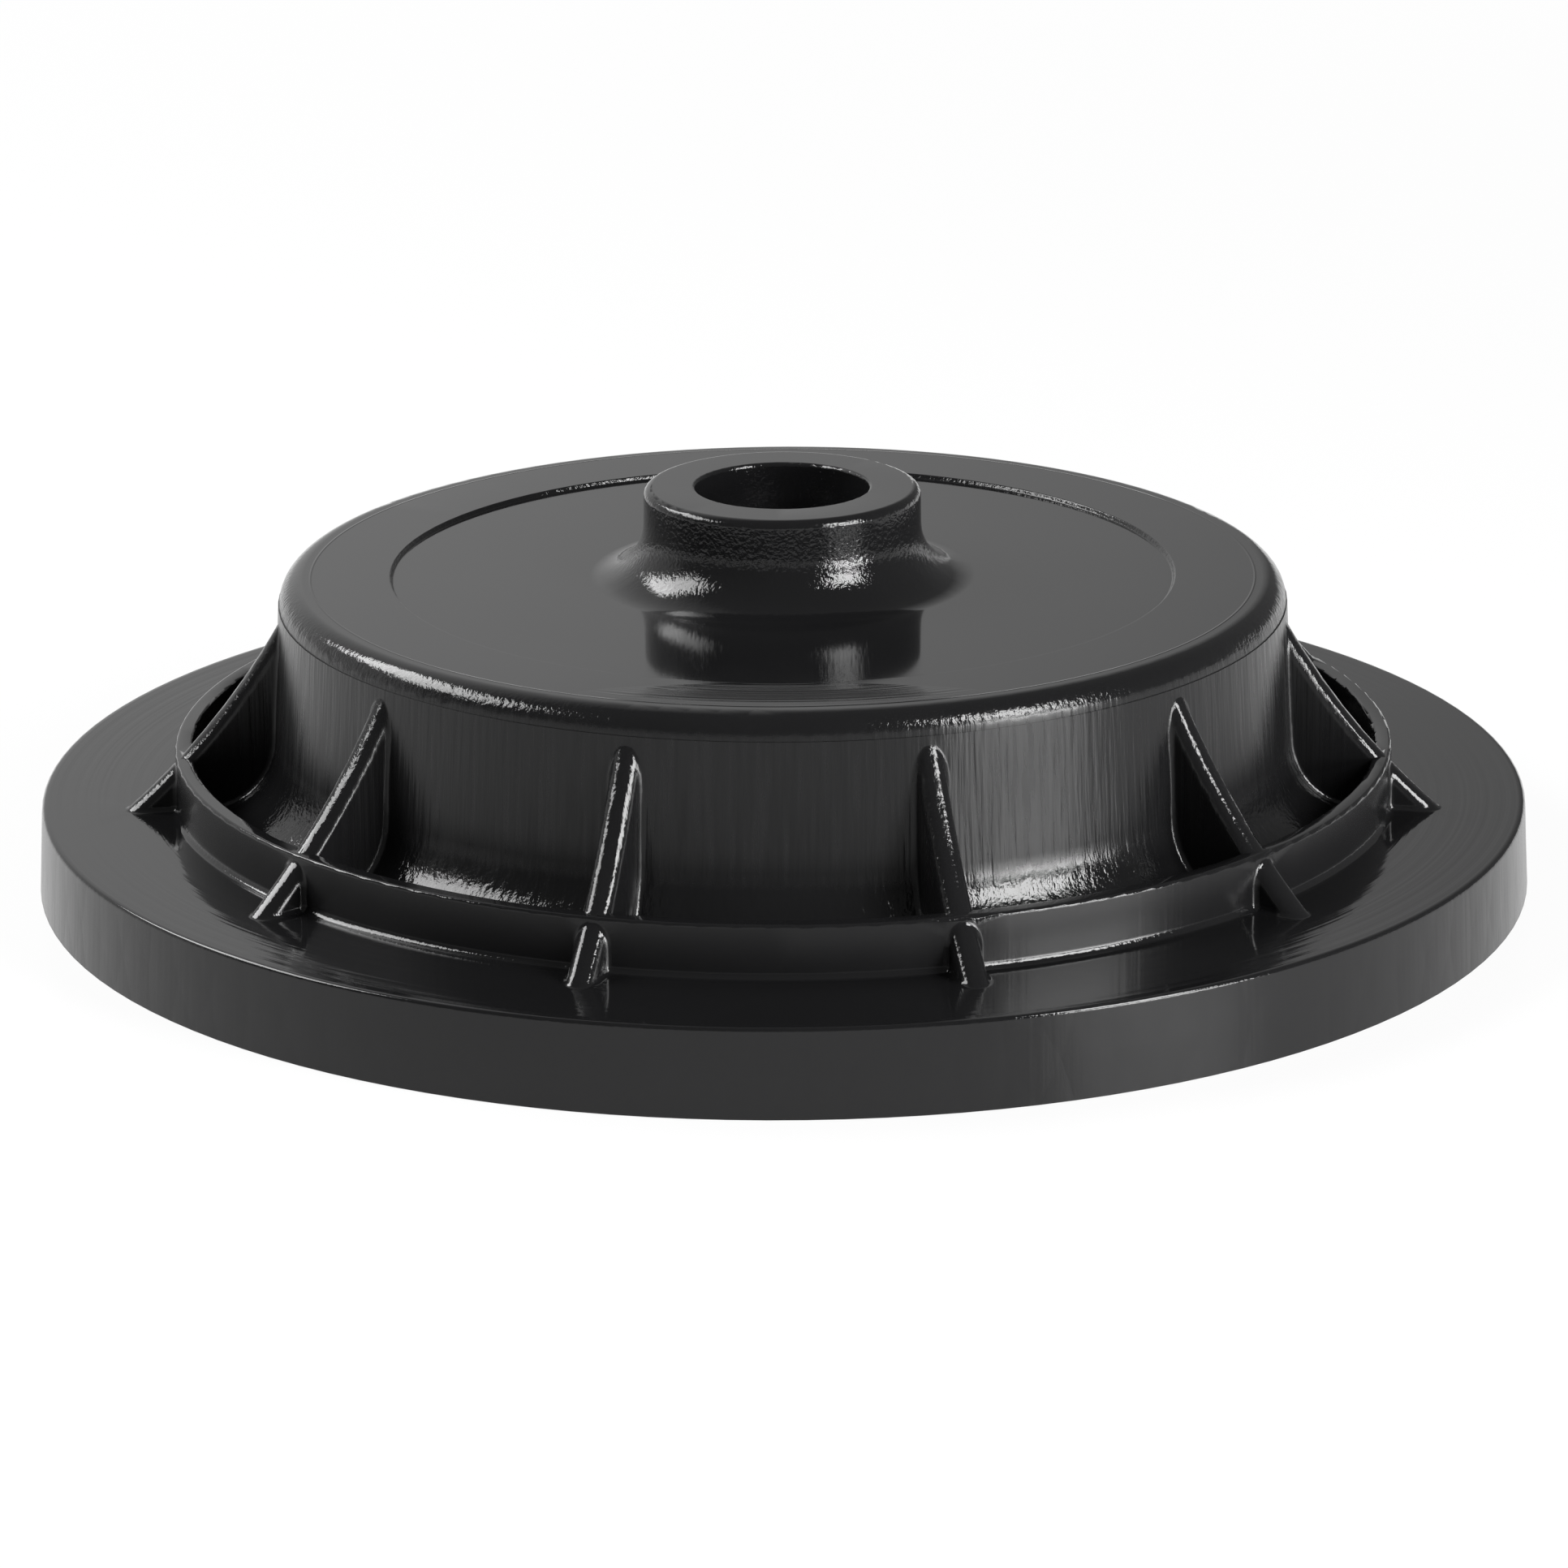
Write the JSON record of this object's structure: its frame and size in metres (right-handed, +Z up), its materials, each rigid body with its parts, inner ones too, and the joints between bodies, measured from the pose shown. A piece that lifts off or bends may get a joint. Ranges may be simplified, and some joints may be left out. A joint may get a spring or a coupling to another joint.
{
  "type": "garbage disposal grinding unit",
  "caption": "Ribbed, hat-shaped black housing with a bored boss, holding a sealed spindle bearing, turntable, swivel lugs and shredder ring: the grinding unit of a kitchen garbage disposal.",
  "frame": {"origin": "centre of the rim's lower edge, the plane that the unit stands on", "axes": "+Z up, from the rim to the boss along the spindle; +X through the pivot of swivel_lug_a at rest; -Y towards the viewer of the picture, midway between two ribs"},
  "size_m": [0.2, 0.2, 0.0526],
  "materials": {
    "black_gloss_plastic": "glossy moulded black plastic with a faint grain",
    "black_rubber": "satin black rubber",
    "stainless_steel": "pressed stainless sheet",
    "cast_stainless": "blasted cast stainless",
    "turned_steel": "turned steel",
    "bearing_steel": "ground bearing steel",
    "ball_steel": "polished balls",
    "spring_steel": "oiled spring steel",
    "cage_plastic": "natural moulded plastic"
  },
  "bodies": {
    "housing": {"grind_housing": "black_gloss_plastic", "rim_gasket": "black_rubber", "shredder_ring": "stainless_steel", "bearing_sleeve": "turned_steel", "bearing_outer_ring": "bearing_steel", "bearing_shield_upper": "stainless_steel", "bearing_shield_lower": "stainless_steel", "preload_washer": "spring_steel", "bearing_circlip": "spring_steel", "seal_case": "turned_steel", "seal_lip": "black_rubber", "seal_garter_spring": "spring_steel"},
    "rotor": {"drive_spindle": "turned_steel", "bearing_inner_ring": "bearing_steel", "spindle_slinger": "black_rubber", "turntable": "stainless_steel", "turntable_washer": "stainless_steel", "turntable_nut": "stainless_steel", "lug_rivets": "stainless_steel"},
    "ball_set": {"bearing_balls": "ball_steel", "bearing_cage": "cage_plastic"},
    "lug_a": {"swivel_lug_a": "cast_stainless"},
    "lug_b": {"swivel_lug_b": "cast_stainless"}
  },
  "joints": [
    {"name": "spindle_spin", "type": "hinge", "parent": "housing", "child": "rotor", "pos_m": [0, 0, 0.0387], "axis": [0, 0, 1], "continuous": true},
    {"name": "ball_set_roll", "type": "hinge", "parent": "housing", "child": "ball_set", "pos_m": [0, 0, 0.0387], "axis": [0, 0, 1], "continuous": true},
    {"name": "lug_a_swivel", "type": "hinge", "parent": "rotor", "child": "lug_a", "pos_m": [0.03802, 0, 0.0195], "axis": [0, 0, 1], "continuous": true},
    {"name": "lug_b_swivel", "type": "hinge", "parent": "rotor", "child": "lug_b", "pos_m": [-0.03802, 0, 0.0195], "axis": [0, 0, 1], "continuous": true}
  ],
  "couplings": [
    {"joint": "ball_set_roll", "follows": "spindle_spin", "ratio": 0.381}
  ]
}
